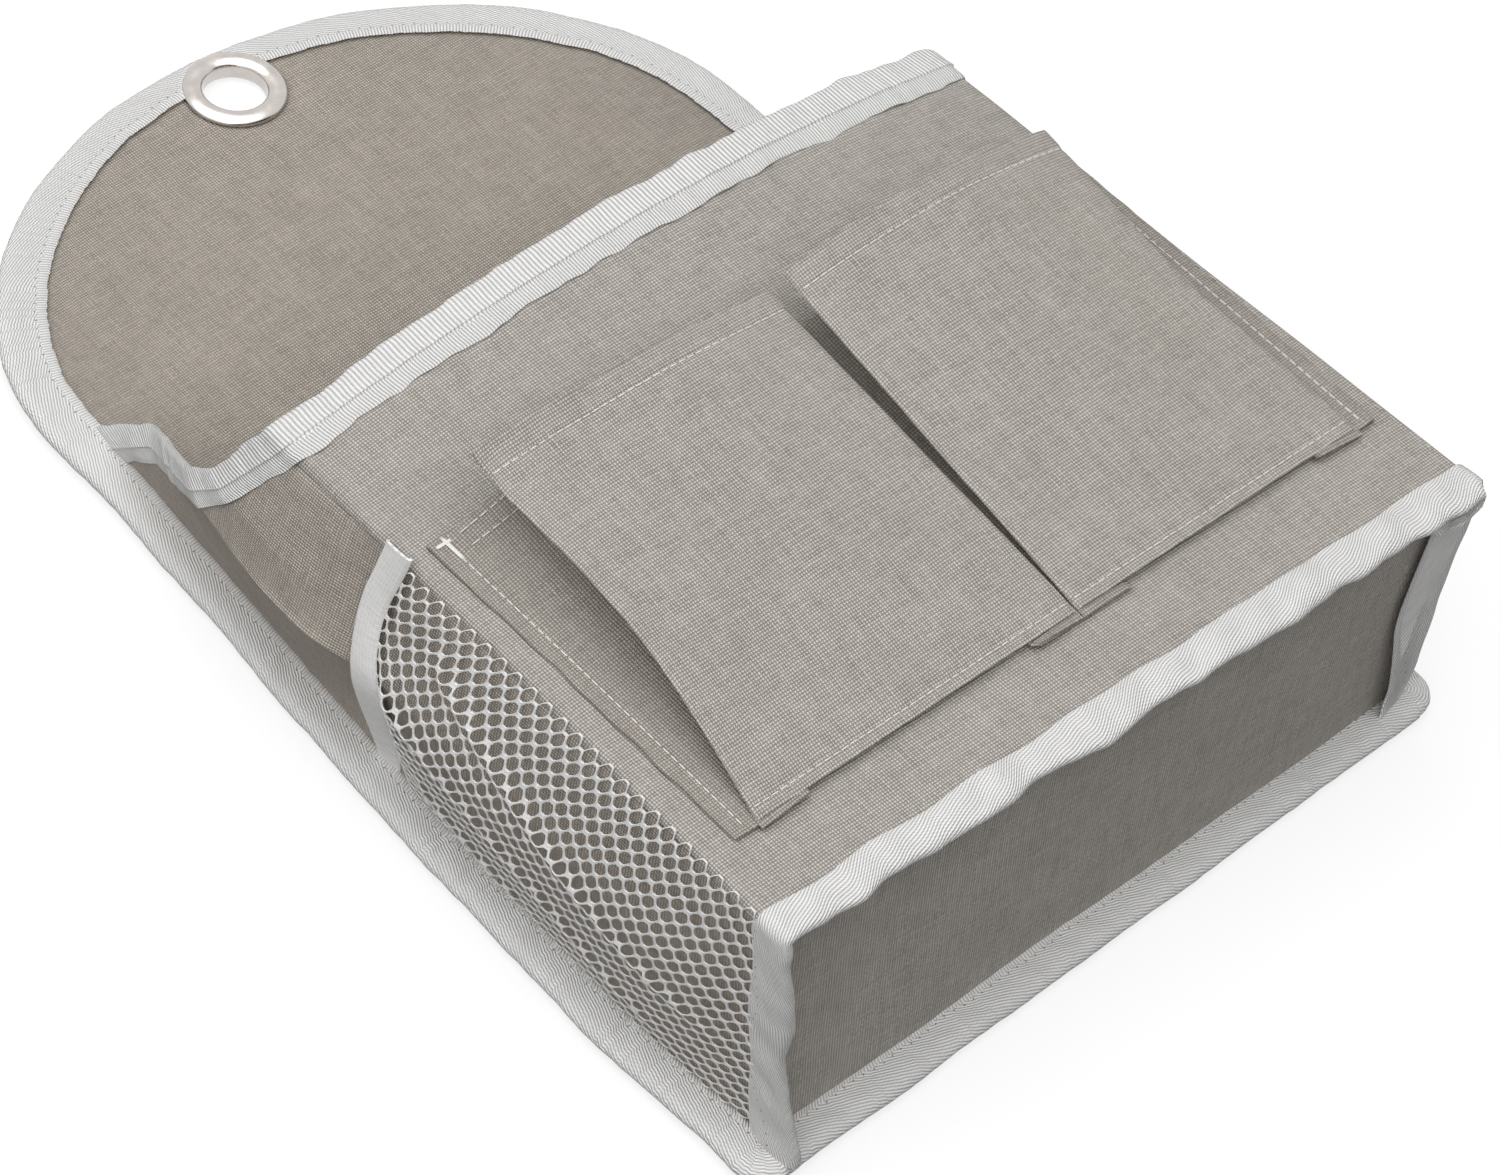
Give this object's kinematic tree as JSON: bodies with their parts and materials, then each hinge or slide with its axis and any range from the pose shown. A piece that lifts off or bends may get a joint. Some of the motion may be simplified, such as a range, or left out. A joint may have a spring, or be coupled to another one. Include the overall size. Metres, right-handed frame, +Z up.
{
  "type": "wall hanging organizer",
  "caption": "Cloth wall organizer: stiff arched back panel with an eyelet, boxy open pouch, pleated front pockets and elastic-topped net side pockets.",
  "frame": {"origin": "centre of the eyelet's hole in the plane of the wall, where the hook carries the organizer", "axes": "+Z up towards the top of the arch, -Y away from the wall towards the viewer, +X to the right as seen from the front"},
  "size_m": [0.266, 0.105, 0.377],
  "materials": {
    "canvas": "warm grey plain-weave canvas, matte",
    "twill_tape": "white ribbed binding tape, matte",
    "elastic": "white flat elastic with fine ribs",
    "net": "white knitted hexagonal net",
    "thread": "white sewing thread",
    "board": "grey-brown pressed board, hidden",
    "eyelet_metal": "polished nickel plate with a slight warm tint"
  },
  "bodies": {
    "pouch": {"back_lining": "canvas", "back_board": "board", "back_face": "canvas", "back_binding": "twill_tape", "eyelet": "eyelet_metal", "eyelet_washer": "eyelet_metal", "front_panel": "canvas", "left_side_panel": "canvas", "right_side_panel": "canvas", "base_panel": "canvas", "base_board": "board", "base_lining": "canvas", "base_binding": "twill_tape", "mouth_binding": "twill_tape", "left_net": "net", "left_elastic_band": "elastic", "right_net": "net", "right_elastic_band": "elastic", "left_pocket_outer_pleat": "canvas", "left_pocket_inner_pleat": "canvas", "left_pocket_seam_thread": "thread", "right_pocket_outer_pleat": "canvas", "right_pocket_inner_pleat": "canvas", "right_pocket_seam_thread": "thread"},
    "left_pocket": {"left_pocket_front": "canvas", "left_pocket_bottom_thread": "thread", "left_pocket_hem_thread": "thread"},
    "right_pocket": {"right_pocket_front": "canvas", "right_pocket_bottom_thread": "thread", "right_pocket_hem_thread": "thread"}
  },
  "joints": [
    {"name": "left_pocket_open", "type": "hinge", "parent": "pouch", "child": "left_pocket", "pos_m": [0, -0.0821, -0.318], "axis": [0.9993, 0, 0.0375], "range_deg": [-5, 10], "deforming": ["left_pocket_outer_pleat", "left_pocket_inner_pleat"]},
    {"name": "right_pocket_open", "type": "hinge", "parent": "pouch", "child": "right_pocket", "pos_m": [0, -0.0821, -0.318], "axis": [0.9993, 0, 0.0375], "range_deg": [-5, 10], "deforming": ["right_pocket_outer_pleat", "right_pocket_inner_pleat"]}
  ]
}
